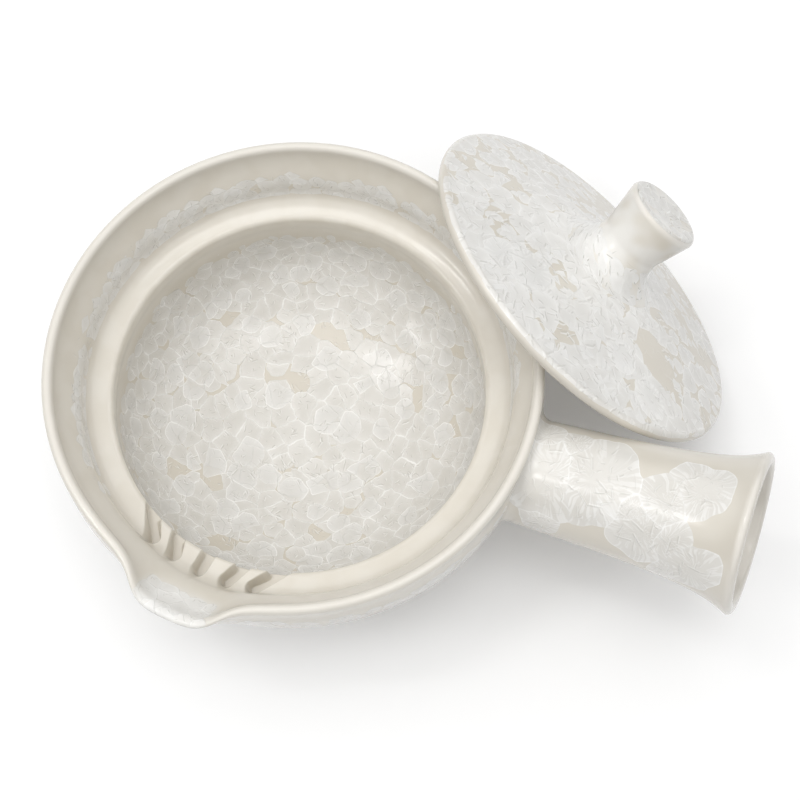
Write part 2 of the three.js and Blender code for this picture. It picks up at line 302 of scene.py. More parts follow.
def shell(name, rings, turns, ways, girth, flat, paints, poles=(False, False), closed_rows=False):
    """Closed mesh from rings of points in millimetres, with a UV map in millimetres.

    Each ring has a turn about the axis at each point and a way along the surface. The map is rolled out
    to the given girth, with its seam at turn pi, or laid flat from its centre where flat is set.
    A pole draws its whole ring into one point. Closed rows join the last ring to the first."""
    row_count, column_count = rings.shape[:2]
    index = np.arange(row_count * column_count).reshape(row_count, column_count)
    for pole, row in zip(poles, (0, -1)):
        if pole:
            index[row] = index[row, 0]
    kept, places = np.unique(index, return_inverse=True)
    places = places.reshape(index.shape)
    upper = np.vstack([places[1:], places[:1]]) if closed_rows else places[1:]
    lower = places if closed_rows else places[:-1]
    corners = np.stack([lower, np.roll(lower, -1, 1), np.roll(upper, -1, 1), upper], axis=2).reshape(-1, 4)
    faces = [list(dict.fromkeys(face)) for face in corners.tolist()]

    mesh = bpy.data.meshes.new(name)
    mesh.from_pydata((rings.reshape(-1, 3)[kept] * MM).tolist(), [], faces)
    mesh.update()
    mesh.shade_smooth()

    sizes = np.array([len(face) for face in faces])
    firsts = np.concatenate([[0], np.cumsum(sizes)[:-1]])
    corner = kept[np.concatenate(faces)]
    first_corner = np.repeat(corner[firsts], sizes)
    row_of_face = np.repeat(np.arange(len(faces)) // column_count, sizes)
    turn, way = turns.ravel()[corner], ways.ravel()[corner]
    first_turn = turns.ravel()[first_corner]
    rolled = girth.ravel()[corner] * (wrapped(first_turn) + wrapped(turn - first_turn))
    laid = flat[row_of_face]
    layer = mesh.uv_layers.new(name="glaze map")
    across = np.where(laid, way * np.sin(turn), rolled)
    along = np.where(laid, way * np.cos(turn), way)
    layer.data.foreach_set("uv", np.stack([across, along], axis=1).ravel())
    for paint, values in paints.items():
        mesh.attributes.new(paint, "FLOAT", "POINT").data.foreach_set("value", values.ravel()[kept])

    piece = bpy.data.objects.new(name, mesh)
    bpy.context.scene.collection.objects.link(piece)
    return piece


class Wire:
    """A shader socket. Sums and products of wires add their Math nodes."""

    def __init__(self, tree, socket=None):
        self.tree = tree
        self.socket = socket

    def node(self, kind, settings, sockets, output=0):
        """Adds a node, gives it its settings, then the values or wires of its sockets"""
        made = self.tree.nodes.new("ShaderNode" + kind)
        for name, value in settings.items():
            setattr(made, name, value)
        for name, value in sockets.items():
            if isinstance(value, Wire):
                self.tree.links.new(value.socket, made.inputs[name])
            else:
                made.inputs[name].default_value = value
        return Wire(self.tree, made.outputs[output])

    def sibling(self, output):
        return Wire(self.tree, self.socket.node.outputs[output])

    def maths(self, operation, a, b):
        return self.node("Math", {"operation": operation}, {0: a, 1: b})

    def __add__(self, other):
        return self.maths("ADD", self, other)

    def __sub__(self, other):
        return self.maths("SUBTRACT", self, other)

    def __rsub__(self, other):
        return self.maths("SUBTRACT", other, self)

    def __mul__(self, other):
        return self.maths("MULTIPLY", self, other)

    __radd__ = __add__
    __rmul__ = __mul__

    def unsigned(self):
        return self.most(self * -1.0)

    def least(self, other):
        return self.maths("MINIMUM", self, other)

    def most(self, other):
        return self.maths("MAXIMUM", self, other)

    def ramp(self, low, high):
        return self.node(
            "MapRange",
            {"interpolation_type": "SMOOTHSTEP"},
            {"Value": self, "From Min": low, "From Max": high, "To Min": 0.0, "To Max": 1.0},
        )

    def vector(self, operation, other, output=0):
        slot = 3 if operation == "SCALE" else 1
        sockets = {0: self} if other is None else {0: self, slot: other}
        return self.node("VectorMath", {"operation": operation}, sockets, output)

    def noise(self, detail=0.0):
        """Cloudy number between 0 and 1 at this place"""
        return self.node("TexNoise", {}, {"Vector": self, "Scale": 1.0, "Detail": detail})


# Colours of the clear glaze, of the edges and cores of crystals in it, of both darkened as painted shade, of
# glaze run thin (also painted light), of the crystals' bright lines (rime, also painted highlights) and of
# painted shade on their dark sides
BASE_GLAZE = (0.718, 0.677, 0.598, 1)
CLOUDED_GLAZE = (0.748, 0.711, 0.638, 1)
SHADED_GLAZE = (0.610, 0.568, 0.490, 1)
THIN_AND_LIT_GLAZE = (0.748, 0.718, 0.660, 1)
CRYSTAL = (0.842, 0.836, 0.816, 1)
CRYSTAL_CORE = (0.735, 0.725, 0.698, 1)
SHADED_CRYSTAL = (0.690, 0.678, 0.650, 1)
SHADED_CORE = (0.610, 0.595, 0.560, 1)
RIME_AND_HIGHLIGHT = (0.905, 0.898, 0.875, 1)
SHADED_SIDE = (0.42, 0.40, 0.355, 1)


def paint_over(under, colour, share):
    """A colour laid over another one, by a share from 0 to 1"""
    return share.node("Mix", {"data_type": "RGBA"}, {0: share, 6: under, 7: colour}, 2)


def wander(place, reach, grain):
    """The place moved about by up to half the reach, so that lines drawn there lose their straightness"""
    drift = place.node("TexNoise", {}, {"Vector": place, "Scale": 1 / grain, "Detail": 1.0}, "Color")
    return place.vector("ADD", drift.vector("SUBTRACT", (0.5, 0.5, 0.5)).vector("SCALE", reach))


def turned(way, angle):
    """The way seen from a stroke that leaves the nucleus at that angle: how far along it, how far aside"""
    seen_from = way.node("VectorRotate", {"rotation_type": "Z_AXIS"}, {"Vector": way, "Angle": angle})
    along = seen_from.node("SeparateXYZ", {}, {0: seen_from}, "X")
    return along, along.sibling("Y")


# How loosely nuclei are scattered, how far short a crystal stops where none may grow, in millimetres, and
# the turns that are drawn for strokes, in radians
LOOSENESS = 0.9
UNGROWN = 1.5
MISSING = 50.0
ANY_TURN = 40.0


def grow(place, spacing, reach, missing, cover, opening=None):
    """Crystals scattered over a surface, each grown out from its nucleus until it stops or meets the next.

    Gives how far each place lies from the free edge and from the meeting line, in millimetres, its way from
    the nucleus, and three lots drawn for that crystal. Some nuclei are missing. With an opening in degrees
    each crystal is a shard of that width, to one side of its nucleus."""
    settings = {"voronoi_dimensions": "2D"}
    sockets = {"Vector": place, "Scale": 1 / spacing, "Randomness": LOOSENESS}
    lots = place.node("TexVoronoi", settings | {"feature": "F1"}, sockets, "Color")
    met = place.node("TexVoronoi", settings | {"feature": "DISTANCE_TO_EDGE"}, sockets, "Distance") * spacing
    way = place.vector("SUBTRACT", lots.sibling("Position"))
    size = lots.node("SeparateColor", {}, {0: lots}, "Red")
    is_missing = size.sibling("Green").maths("LESS_THAN", size.sibling("Green"), missing)
    stop = (reach[0] + UNGROWN + (reach[1] - reach[0]) * size) * cover - UNGROWN - is_missing * MISSING
    free = stop - way.vector("LENGTH", None, "Value")
    if opening:
        half = math.radians(opening) / 2
        along, aside = turned(way, size.sibling("Blue") * ANY_TURN)
        free = free.least(along * math.sin(half) - aside.unsigned() * math.cos(half))
    return free, met, way, lots


# Outlines, in millimetres from a crystal's free edge and from the line where it meets the next one
FREE_OUTLINE = (0.10, 0.44)
MET_OUTLINE = (0.04, 0.32)

# How far nearness to the edge, painted light on the side turned to the light, and luck whiten a crystal
WHITER_AT_EDGE = 0.35
WHITER_WHEN_LIT = 0.45
WHITER_BY_LUCK = 0.30

# How bright outlines and rays are (a painted highlight on the side turned to the light), and the painted
# shade opposite
OUTLINE_SHARE = 0.48
OUTLINE_LIT_SHARE = 0.44
OUTLINE_SHADE = 0.14
RAY_FINENESS = 9.0
RAY_SHARE = 0.55


def lay(look, crystals, tones, frost, ribs, relief, reach=2.4):
    """Lays crystals over a look, which is a colour and a height in millimetres.

    Tones are a crystal's colours at its nucleus and at its edge. Frost says how well they cover, ribs how
    strongly the fine rays near the edges show and reach how far in these go, and relief how high the
    crystals stand. 0 leaves ribs or relief out."""
    under, height = look
    free, met, way, lots = crystals
    core, crystal = tones
    luck = lots.node("SeparateColor", {}, {0: lots}, "Green")
    body = free.ramp(0.0, 0.12)
    border = (1 - free.ramp(*FREE_OUTLINE)).most(1 - met.ramp(*MET_OUTLINE))
    # Painted light and shade: each crystal is whitened on the side turned to the light, its outline brighter
    # there and painted darker on the other side
    _, across = turned(way, luck * 25.0)
    lit = across.ramp(-2.0, 2.0)
    outer = 1 - free.least(met * 1.6).ramp(0.3, 2.4)
    tone = outer * WHITER_AT_EDGE + lit * WHITER_WHEN_LIT + luck * WHITER_BY_LUCK
    bright = border * (OUTLINE_SHARE + OUTLINE_LIT_SHARE * lit)
    if ribs:
        heading = way.vector("NORMALIZE", None).vector("SCALE", RAY_FINENESS)
        ray = heading.vector("ADD", lots.vector("SCALE", ANY_TURN)).noise(1.0).ramp(0.48, 0.62)
        bright = bright + ray * (1 - free.least(met + 0.3).ramp(0.4, reach)) * (ribs * RAY_SHARE)
    shade = paint_over(under, paint_over(core, crystal, tone.least(1.0)), body * frost)
    shade = paint_over(shade, RIME_AND_HIGHLIGHT, (bright * body * frost).least(1.0))
    shade = paint_over(shade, SHADED_SIDE, border * (1 - lit) * body * OUTLINE_SHADE)
    if relief:
        height = height + (border * (0.7 * relief) + across * (0.5 * relief)) * body
    return shade, height


# Shortest and tallest ridge, in millimetres
SHORTEST_RIDGE = 0.3
RIDGE_RELIEF = 0.05


def bristle(look, place, spacing, length, width, pale, dark, where):
    """Small ridges that stand out of the crystals in all directions, each with a painted highlight on one
    side and painted shade on the other
    """
    shade, height = look
    sockets = {"Vector": place, "Scale": 1 / spacing, "Randomness": 1.0}
    lots = place.node("TexVoronoi", {"voronoi_dimensions": "2D", "feature": "F1"}, sockets, "Color")
    way = place.vector("SUBTRACT", lots.sibling("Position"))
    turn = lots.node("SeparateColor", {}, {0: lots}, "Red")
    along, aside = turned(way, turn * ANY_TURN)
    reach = turn.sibling("Green") * length + SHORTEST_RIDGE
    ridge = (1 - along.unsigned().ramp(reach * 0.6, reach)) * (1 - aside.unsigned().ramp(0.4 * width, width))
    ridge = ridge * turn.sibling("Blue").ramp(0.25, 0.7) * where
    lit = aside.ramp(-0.12, 0.12)
    shade = paint_over(shade, RIME_AND_HIGHLIGHT, ridge * lit * pale)
    shade = paint_over(shade, SHADED_SIDE, ridge * (1 - lit) * dark)
    return shade, height + ridge * RIDGE_RELIEF


def fire(material, look, thin_and_lit):
    """Finishes a glazed material: glass over the colour, paler where the glaze ran thin off an edge and where
    painted light is laid
    """
    shade, height = look
    tree = material.node_tree
    surface = tree.nodes["Principled BSDF"]
    pale = paint_over(shade, THIN_AND_LIT_GLAZE, thin_and_lit)
    bump = thin_and_lit.node("Bump", {}, {"Strength": 1.0, "Distance": MM, "Height": height})
    tree.links.new(pale.socket, surface.inputs["Base Color"])
    tree.links.new(bump.socket, surface.inputs["Normal"])
    surface.inputs["Roughness"].default_value = 0.22
    surface.inputs["Specular IOR Level"].default_value = 0.5
    surface.inputs["Coat Weight"].default_value = 0.3
    surface.inputs["Coat IOR"].default_value = 1.4
    surface.inputs["Coat Roughness"].default_value = 0.10


def new_glaze(name):
    """A material, its place on the glaze map in millimetres, and shares of crystals, of thin glaze with
    painted light, and of painted shade
    """
    material = bpy.data.materials.new(name)
    material.use_nodes = True
    start = Wire(material.node_tree)
    place = start.node("UVMap", {"uv_map": "glaze map"}, {})
    growth = start.node("Attribute", {"attribute_name": "growth"}, {}, "Fac")
    thin_and_lit = start.node("Attribute", {"attribute_name": "thin_and_lit"}, {}, "Fac")
    painted_shade = start.node("Attribute", {"attribute_name": "painted_shade"}, {}, "Fac")
    return material, place, growth, thin_and_lit, painted_shade


# Clouds and dimples of the clear glaze, by their number per millimetre, and the dimples' depth
CLOUD_FINENESS = 0.08
DIMPLE_FINENESS = 0.35
DIMPLE_RELIEF = 0.02


def plain_glaze(place, painted_shade):
    """The clear ivory glaze under the crystals, faintly clouded, and darker where painted shade is laid"""
    cloud = place.vector("SCALE", CLOUD_FINENESS).noise(2.0).ramp(0.35, 0.65)
    tone = paint_over(paint_over(BASE_GLAZE, CLOUDED_GLAZE, cloud), SHADED_GLAZE, painted_shade)
    dimple = place.vector("SCALE", DIMPLE_FINENESS).noise(1.0)
    return tone, dimple * DIMPLE_RELIEF


# Crystal colours, darker where painted shade is laid
def crystal_tones(painted_shade):
    return paint_over(CRYSTAL_CORE, SHADED_CORE, painted_shade), paint_over(CRYSTAL, SHADED_CRYSTAL, painted_shade)


# Where crystals start and stop on the parts of the bowl that have them: heights, and on the lip also the
# share of the pinch (width) and the distance from the pot's axis (reach)
WELL_STOP = (WELL_WIDEST_HEIGHT - 6, WELL_WIDEST_HEIGHT + 3)
WALL_START = (SEAT_HEIGHT + 1.6, SEAT_HEIGHT + 2.4)
WALL_STOP = (SEAT_HEIGHT + 5.5, SEAT_HEIGHT + 11)
BELLY_START = (FOOT_HEIGHT + 2, FOOT_HEIGHT + 10)
BELLY_STOP = (RIM_HEIGHT - 10, RIM_HEIGHT - 3)
LIP_START = (RIM_HEIGHT - 11, RIM_HEIGHT - 6)
LIP_WIDTH = (0.60, 1.0)
LIP_REACH = (RIM_RADIUS - 2.6, RIM_RADIUS + 1.0)
RIM_TOP = (RIM_HEIGHT - 1.8, RIM_HEIGHT - 0.5)

# The wall is plain between the lip and the handle and behind the lip
PLAIN_BEARING = math.radians(60)
PLAIN_FADES = (math.radians(25), math.radians(60))
BEHIND_LIP_FADES = (math.radians(20), math.radians(48))

# Painted shade: darker down in the well and towards its wall, in the grooves, where glaze also pooled, and
# low on the outside
WELL_SHADE_STOP = (SEAT_HEIGHT - 14, SEAT_HEIGHT - 5)
SHADE_DEEPENS = (6, 36)
BELLY_SHADE_STOP = (BELLY_HEIGHT - 14, RIM_HEIGHT - 4)

row_radius, row_height = profile[:, :1] + 0 * bearing, profile[:, 1:] + 0 * bearing
below_ledge = profile[:, 1] < SEAT_HEIGHT - SEAT_FALL
well_rows = is_inside[:, 0] & below_ledge & (profile[:, 0] < SEAT_INNER_RADIUS + SEAT_EDGE_RADIUS)
in_well = 1 - smooth(*WELL_STOP, row_height)
on_wall = smooth(*WALL_START, row_height) * (1 - smooth(*WALL_STOP, row_height))
on_wall = on_wall * smooth(*PLAIN_FADES, np.abs(wrapped(compass - PLAIN_BEARING)))
on_wall = on_wall * smooth(*BEHIND_LIP_FADES, np.abs(wrapped(compass - POUR_BEARING)))
on_lip = smooth(*LIP_WIDTH, pinch) * smooth(*LIP_REACH, drawn) * smooth(*LIP_START, row_height)
on_belly = smooth(*BELLY_START, row_height) * (1 - smooth(*BELLY_STOP, row_height))
on_rim = smooth(*RIM_TOP, row_height)
shade_in_well = (1 - smooth(*WELL_SHADE_STOP, row_height)) * lerp(0.7, 1.0, smooth(*SHADE_DEEPENS, row_radius))
shade_inside = np.maximum(shade_in_well * well_rows[:, None], 0.7 * sunk)
growth_inside = np.where(well_rows[:, None], in_well, np.maximum(on_wall, on_lip))
frost_inside = np.where(well_rows[:, None], 0.8, lerp(0.74, 0.7, on_lip))
paints = {
    "growth": np.where(is_inside, growth_inside, np.maximum(0.8 * on_belly, on_lip)),
    "thin_and_lit": 0.6 * on_rim * (1 - on_lip),
    "painted_shade": np.where(is_inside, shade_inside, 0.8 * (1 - smooth(*BELLY_SHADE_STOP, row_height))),
    "frost": np.where(is_inside, frost_inside, 0.66),
    "milky": on_lip * (1 - 0.6 * on_rim),
}

# The map lies flat in the well and under the foot and is rolled out elsewhere, to the bowl's mean girth
WELL_STRETCH = 0.008
ROLLED_STRETCH = 1.6
MEAN_RADIUS = 50.0
ways = length_along(profile)
from_centre = (ways[-1] - ways) * (1 + WELL_STRETCH * (ways[-1] - ways))
flat_rows = well_rows | (np.arange(len(profile)) < FOOT_ROWS)
stretch = np.where(flat_rows, 1.0, ROLLED_STRETCH)[:, None]
pot = shell(
    "thrown_bowl",
    bowl_rings,
    compass + math.pi / 2,
    stretch * np.where(well_rows, from_centre, ways)[:, None] + 0 * bearing,
    MEAN_RADIUS * stretch + 0 * bearing,
    flat_rows,
    paints,
    poles=(True, True),
)

material, place, cover, thinness_and_light, painted_shade = new_glaze("ivory glaze with grown crystals")
frost = place.node("Attribute", {"attribute_name": "frost"}, {}, "Fac")
milky = place.node("Attribute", {"attribute_name": "milky"}, {}, "Fac")
colour, height = plain_glaze(place, painted_shade)
look = paint_over(colour, CRYSTAL, milky * 0.75), height
tones = crystal_tones(painted_shade)
drifting = wander(place, reach=1.8, grain=3.5)
small_crystals = grow(drifting, spacing=6.0, reach=(3.0, 9.5), missing=0.05, cover=cover)
look = lay(look, small_crystals, tones, frost, ribs=0.3, relief=0.06)
shifted = place.vector("ADD", (31.0, 17.0, 0.0))
drifting = wander(shifted, reach=1.8, grain=4.5)
wide_crystals = grow(drifting, spacing=8.0, reach=(3.0, 5.4), missing=0.5, cover=cover)
look = lay(look, wide_crystals, tones, frost, ribs=0.3, relief=0.0)

# Ridges stand near the nuclei and in loose clouds
near_nucleus = 1 - small_crystals[2].vector("LENGTH", None, "Value").ramp(1.2, 2.4)
in_cloud = place.vector("SCALE", 0.11).noise(1.0).ramp(0.5, 0.62)
bristly = near_nucleus.most(in_cloud) * cover.ramp(0.2, 0.6) * frost.ramp(0.5, 0.8)
wavy = wander(place, reach=0.8, grain=1.5)
look = bristle(look, wavy, spacing=2.3, length=1.5, width=0.40, pale=0.60, dark=0.50, where=bristly)
wavy = wander(shifted, reach=0.8, grain=1.5)
look = bristle(look, wavy, spacing=1.8, length=1.0, width=0.30, pale=0.50, dark=0.50, where=bristly)
fire(material, look, thinness_and_light)
pot.data.materials.append(material)

# The foot was wiped clean of glaze, so that the pot wouldn't stick to the kiln shelf. The bare clay keeps
# faint rings from turning and is a little gritty.
BARE_CLAY = (0.76, 0.73, 0.67, 1)
STAINED_CLAY = (0.66, 0.62, 0.55, 1)
BARE_ROWS = FOOT_ROWS + 7
TURNING_MARKS = 4.0
GRIT_FINENESS = 6.0
GRIT_RELIEF = 0.04
bare = bpy.data.materials.new("bare porcelain of the foot")
bare.use_nodes = True
surface = bare.node_tree.nodes["Principled BSDF"]
grain = Wire(bare.node_tree).node("UVMap", {"uv_map": "glaze map"}, {})
turned_marks = grain.vector("LENGTH", None, "Value") * TURNING_MARKS
ripple = turned_marks.maths("SINE", turned_marks, 0.0).ramp(-1.0, 1.0)
clay = paint_over(BARE_CLAY, STAINED_CLAY, ripple * 0.25 + grain.noise(3.0) * 0.3)
grit = grain.vector("SCALE", GRIT_FINENESS).noise(3.0) * GRIT_RELIEF
roughened = grain.node("Bump", {}, {"Strength": 1.0, "Distance": MM, "Height": grit})
bare.node_tree.links.new(clay.socket, surface.inputs["Base Color"])
bare.node_tree.links.new(roughened.socket, surface.inputs["Normal"])
surface.inputs["Roughness"].default_value = 0.75
pot.data.materials.append(bare)
face_rows = np.arange(len(pot.data.polygons)) // bearing.shape[1]
pot.data.polygons.foreach_set("material_index", (face_rows < BARE_ROWS).astype(np.int32))

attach(pot, "pot")
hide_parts("pot_body")

# Side handle.
# A hollow porcelain tube, thrown on its own, flared to a round-lipped mouth and stuck to the bowl's side
# with slip, which leaves a soft fillet. Large fans of crystals have grown on its upper side.
HANDLE_TILT = math.radians(16.5)
HANDLE_ROOT_HEIGHT = RIM_HEIGHT - 16.0
HANDLE_ROOT_RADIUS = 11.8
HANDLE_MOUTH_RADIUS = 17.4
HANDLE_LENGTH = 51.0
HANDLE_WALL = 2.6
HANDLE_ROOT_INSET = 10.0
HANDLE_FILLET = 2.4
HANDLE_SUNK = 0.5
HANDLE_COLUMNS = 160

# The bowl's wall is looked for this far to both sides of the handle's root, in millimetres, by halving
WALL_SEARCH = 20.0
WALL_SEARCH_HALVINGS = 40

handle_turns = np.linspace(0, 2 * math.pi, HANDLE_COLUMNS, endpoint=False)
handle_along = np.array([math.cos(HANDLE_TILT), 0, math.sin(HANDLE_TILT)])
handle_up = np.array([-math.sin(HANDLE_TILT), 0, math.cos(HANDLE_TILT)])
handle_aside = np.array([0.0, -1.0, 0.0])
handle_root = np.array([RIM_RADIUS, 0, HANDLE_ROOT_HEIGHT])


def handle_points(along, radius, turns):
    """Points on the handle, from their lengths along its axis, their radii and their turns from its top"""
    ring = np.cos(turns)[..., None] * handle_up + np.sin(turns)[..., None] * handle_aside
    return handle_root + np.asarray(along)[..., None] * handle_along + np.asarray(radius)[..., None] * ring


def handle_line(inset):
    swell = HANDLE_MOUTH_RADIUS - HANDLE_ROOT_RADIUS
    mouth = HANDLE_LENGTH - HANDLE_WALL / 2
    root = HANDLE_ROOT_RADIUS - inset
    return np.vstack([
        bend(
            (root, -HANDLE_ROOT_INSET),
            (root + 0.16 * swell, 0.62 * mouth),
            (root + 0.3 * swell, 0.86 * mouth),
            (HANDLE_MOUTH_RADIUS - inset, mouth),
            80,
        ),
        [(HANDLE_MOUTH_RADIUS - inset, mouth)],
    ])


def wall_along(radius):
    """Length along the axis at which a ring of that radius meets the bowl's side, at each turn"""
    wall = outside[outside[:, 1] > FOOT_HEIGHT]
    low, high = np.full(HANDLE_COLUMNS, -WALL_SEARCH), np.full(HANDLE_COLUMNS, WALL_SEARCH)
    for _ in range(WALL_SEARCH_HALVINGS):
        middle = (low + high) / 2
        points = handle_points(middle, radius, handle_turns)
        is_out = np.hypot(points[:, 0], points[:, 1]) > np.interp(points[:, 2], wall[:, 1], wall[:, 0])
        low, high = np.where(is_out, low, middle), np.where(is_out, middle, high)
    return high


outer_line, bore_line = handle_line(0), handle_line(HANDLE_WALL)
mouth = HANDLE_LENGTH - HANDLE_WALL / 2
rows, row_radii = [], []


def add_row(along, radius):
    rows.append(along + 0 * handle_turns)
    row_radii.append(radius + 0 * handle_turns)


def radius_on(line, along):
    return np.interp(along, line[:, 1], line[:, 0])


for t in np.linspace(0, math.pi / 2, 9):
    radius_here = radius_on(outer_line, wall_along(HANDLE_ROOT_RADIUS)) + HANDLE_FILLET * (1 - math.sin(t))
    if not rows:
        add_row(wall_along(radius_here) - HANDLE_SUNK, radius_here)
    add_row(wall_along(radius_here) + HANDLE_FILLET * (1 - math.cos(t)), radius_here)
fillet_end = rows[-1]
for t in np.linspace(0, 1, 60)[1:]:
    along_here = lerp(fillet_end, mouth, t)
    add_row(along_here, radius_on(outer_line, along_here))
lip_row = len(rows)
for turn in np.linspace(0, math.pi, 12)[1:-1]:
    inset = HANDLE_WALL / 2 - HANDLE_WALL / 2 * math.cos(turn)
    add_row(mouth + HANDLE_WALL / 2 * math.sin(turn), HANDLE_MOUTH_RADIUS - inset)
bore_end = wall_along(HANDLE_ROOT_RADIUS - HANDLE_WALL) - HANDLE_SUNK
for t in np.linspace(0, 1, 30):
    along_here = lerp(mouth, bore_end, t)
    add_row(along_here, radius_on(bore_line, along_here))
rows, row_radii = np.array(rows), np.array(row_radii)
turn_grid = handle_turns[None, :] + 0 * rows
on_outside = (np.arange(len(rows)) < lip_row)[:, None]
near_mouth = smooth(mouth - 1.0, mouth + 0.6, rows)
underneath = smooth(-0.1, 0.8, -np.cos(turn_grid))
handle = shell(
    "flared_handle",
    handle_points(rows, row_radii, turn_grid),
    turn_grid,
    rows,
    row_radii,
    np.zeros(len(rows), bool),
    {
        "growth": on_outside * (1 - near_mouth),
        # Painted light inside the bore; at the mouth's rounded lip the glaze ran thin
        "thin_and_lit": np.where(on_outside, 0.0, 0.6) * (1 - near_mouth) + 0.8 * near_mouth,
        # Painted shade: the handle's glaze is painted a little darker all over its outside, and most on its
        # underside
        "painted_shade": on_outside * (0.25 + 0.65 * underneath),
    },
    closed_rows=True,
)

# Fans seen on the handle: length along it, degrees round from its top towards the lip, and reach
FANS = (
    (18.5, 7, 11.0),
    (9.0, 18, 10.5),
    (12.5, -21, 5.5),
    (21.0, 26, 6.5),
    (28.0, 26, 4.6),
    (33.5, 13, 6.4),
    (39.5, -7, 7.0),
    (36.0, 43, 6.2),
    (31.0, 46, 7.4),
    (42.0, 62, 6.4),
    (37.0, 77, 3.6),
    (5.5, -25, 4.6),
    (8.5, 69, 5.2),
)

# How far short a fan stops where none may grow, in millimetres
FAR_SHORT = 40.0


def grow_fans(place, centres, cover):
    """Crystals grown from given centres, each to its own reach, that stop where they meet"""
    best, second, best_way = None, None, None
    for across, along, reach in centres:
        way = place.vector("SUBTRACT", (across, along, 0.0))
        left = reach - way.vector("LENGTH", None, "Value")
        if best is None:
            best, second, best_way = left, left - MISSING, way
        else:
            wins = left.node("Math", {"operation": "GREATER_THAN"}, {0: left, 1: best})
            best_way = wins.node("Mix", {"data_type": "VECTOR"}, {0: wins, 4: best_way, 5: way}, 1)
            second = second.most(left.least(best))
            best = best.most(left)
    nucleus = place.vector("SUBTRACT", best_way).vector("SNAP", (0.5, 0.5, 0.5))
    lots = nucleus.node("TexWhiteNoise", {"noise_dimensions": "2D"}, {"Vector": nucleus}, "Color")
    return best - (1 - cover) * FAR_SHORT, (best - second) * 0.5, best_way, lots


material, place, cover, thinness_and_light, painted_shade = new_glaze("ivory glaze with fans of crystals")
look = plain_glaze(place, painted_shade)
bumpy = wander(wander(place, reach=5.0, grain=9.0), reach=0.9, grain=2.6)
on_handle = [
    (radius_on(outer_line, along) * math.radians(around), along, reach)
    for along, around, reach in FANS
]
fans = grow_fans(bumpy, on_handle, cover)
tones = crystal_tones(painted_shade)
look = lay(look, fans, tones, frost=0.66, ribs=1.5, relief=0, reach=5.5)
inside_fans = fans[0].ramp(0.0, 1.2)
needled = inside_fans * fans[0].ramp(0.6, 3.0)
shifted = place.vector("ADD", (31.0, 17.0, 0.0))
wavy = wander(shifted, reach=0.4, grain=2.5)
look = bristle(look, wavy, spacing=3.2, length=2.8, width=0.32, pale=0.45, dark=0.25, where=needled)
wavy = wander(place, reach=1.6, grain=2.5)
look = bristle(look, wavy, spacing=1.9, length=1.6, width=0.30, pale=0.40, dark=0.22, where=needled)
fire(material, look, thinness_and_light)
handle.data.materials.append(material)
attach(handle, "pot")
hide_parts("side_handle")

# Lid plate.
# A shallow cone of thrown porcelain with a rounded edge, a flat ring that sits on the ledge and a turned
# hollow under it. It is loose: here it stands on its edge on the table and leans on the rim.
LID_RADIUS = WALL_FOOT_RADIUS - 3.1
LID_EDGE_RADIUS = 1.5
LID_RISE = 8.4
LID_SWELL = 0.3
LID_WALL = 3.4
LID_SEAT_WIDTH = 5.0
LEAN_TILT = math.radians(45)
LEAN_AZIMUTH = math.radians(51.1)
LID_COLUMNS = 220
SMALLEST_GIRTH = 8.0

edge_circle = LID_RADIUS - LID_EDGE_RADIUS
hollow_radius = edge_circle - LID_SEAT_WIDTH
cone_top = LID_RISE + LID_EDGE_RADIUS
hollow_top = cone_top - LID_WALL
brow = (edge_circle / 2, LID_EDGE_RADIUS + LID_RISE / 2 + LID_SWELL)


def bow(start, pull, end, steps):
    """Points along a quadratic curve, without its last point"""
    start, pull, end = map(np.asarray, (start, pull, end))
    return bend(start, (start + 2 * pull) / 3, (end + 2 * pull) / 3, end, steps)


lid_low, lid_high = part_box("lid_plate")
lid_centre = (lid_low + lid_high) / (2 * MM)
lid_place = np.array(Matrix.Rotation(LEAN_AZIMUTH, 3, "Z") @ Matrix.Rotation(LEAN_TILT, 3, "Y"))


def turned_on_lid(name, profile, columns, flat, paints, material):
    """Piece turned about the lid's axis, set in the lid's leaning place"""
    turns = np.linspace(0, 2 * math.pi, columns, endpoint=False)[None, :] + 0 * profile[:, :1]
    radius, height = profile[:, :1], profile[:, 1:]
    upright = np.stack([radius * np.sin(turns), -radius * np.cos(turns), height + 0 * turns], axis=2)
    ways = np.where(flat[:, None], radius, length_along(profile)[:, None]) + 0 * turns
    girth = np.maximum(radius, SMALLEST_GIRTH) + 0 * turns
    piece = shell(
        name,
        upright @ lid_place.T + np.array(lid_centre),
        turns,
        ways,
        girth,
        flat,
        {paint: values + 0 * turns for paint, values in paints.items()},
        poles=(True, True),
    )
    piece.data.materials.append(material)
    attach(piece, "lid")
    return piece


seat_corner = (hollow_radius, -LID_EDGE_RADIUS)
seat_starts = (hollow_radius + 1, -LID_EDGE_RADIUS)
hollow_ends = (hollow_radius - 1, lerp(hollow_top, -LID_EDGE_RADIUS, 1 - 1 / hollow_radius))
under_side = np.vstack([
    straight((0, hollow_top), hollow_ends, 30),
    bow(hollow_ends, seat_corner, seat_starts, 5),
    straight(seat_starts, (edge_circle, -LID_EDGE_RADIUS), 5),
])
lid_edge = arc((edge_circle, 0), LID_EDGE_RADIUS, -math.pi / 2, math.pi / 2, 16)
top_side = np.vstack([bow((edge_circle, LID_EDGE_RADIUS), brow, (0, cone_top), 60), [(0, cone_top)]])
lid_profile = np.vstack([under_side, lid_edge, top_side])
is_top = np.arange(len(lid_profile)) >= len(under_side) + len(lid_edge)
is_edge = (np.arange(len(lid_profile)) >= len(under_side)) & ~is_top

# Fans seen on the lid: their centres on its map, seen from above, and reach
LID_FANS = (
    (-17.0, 23.5, 4.6),
    (-14.0, 34.5, 5.0),
    (-31.0, -1.0, 6.0),
    (-35.5, -6.0, 4.5),
)

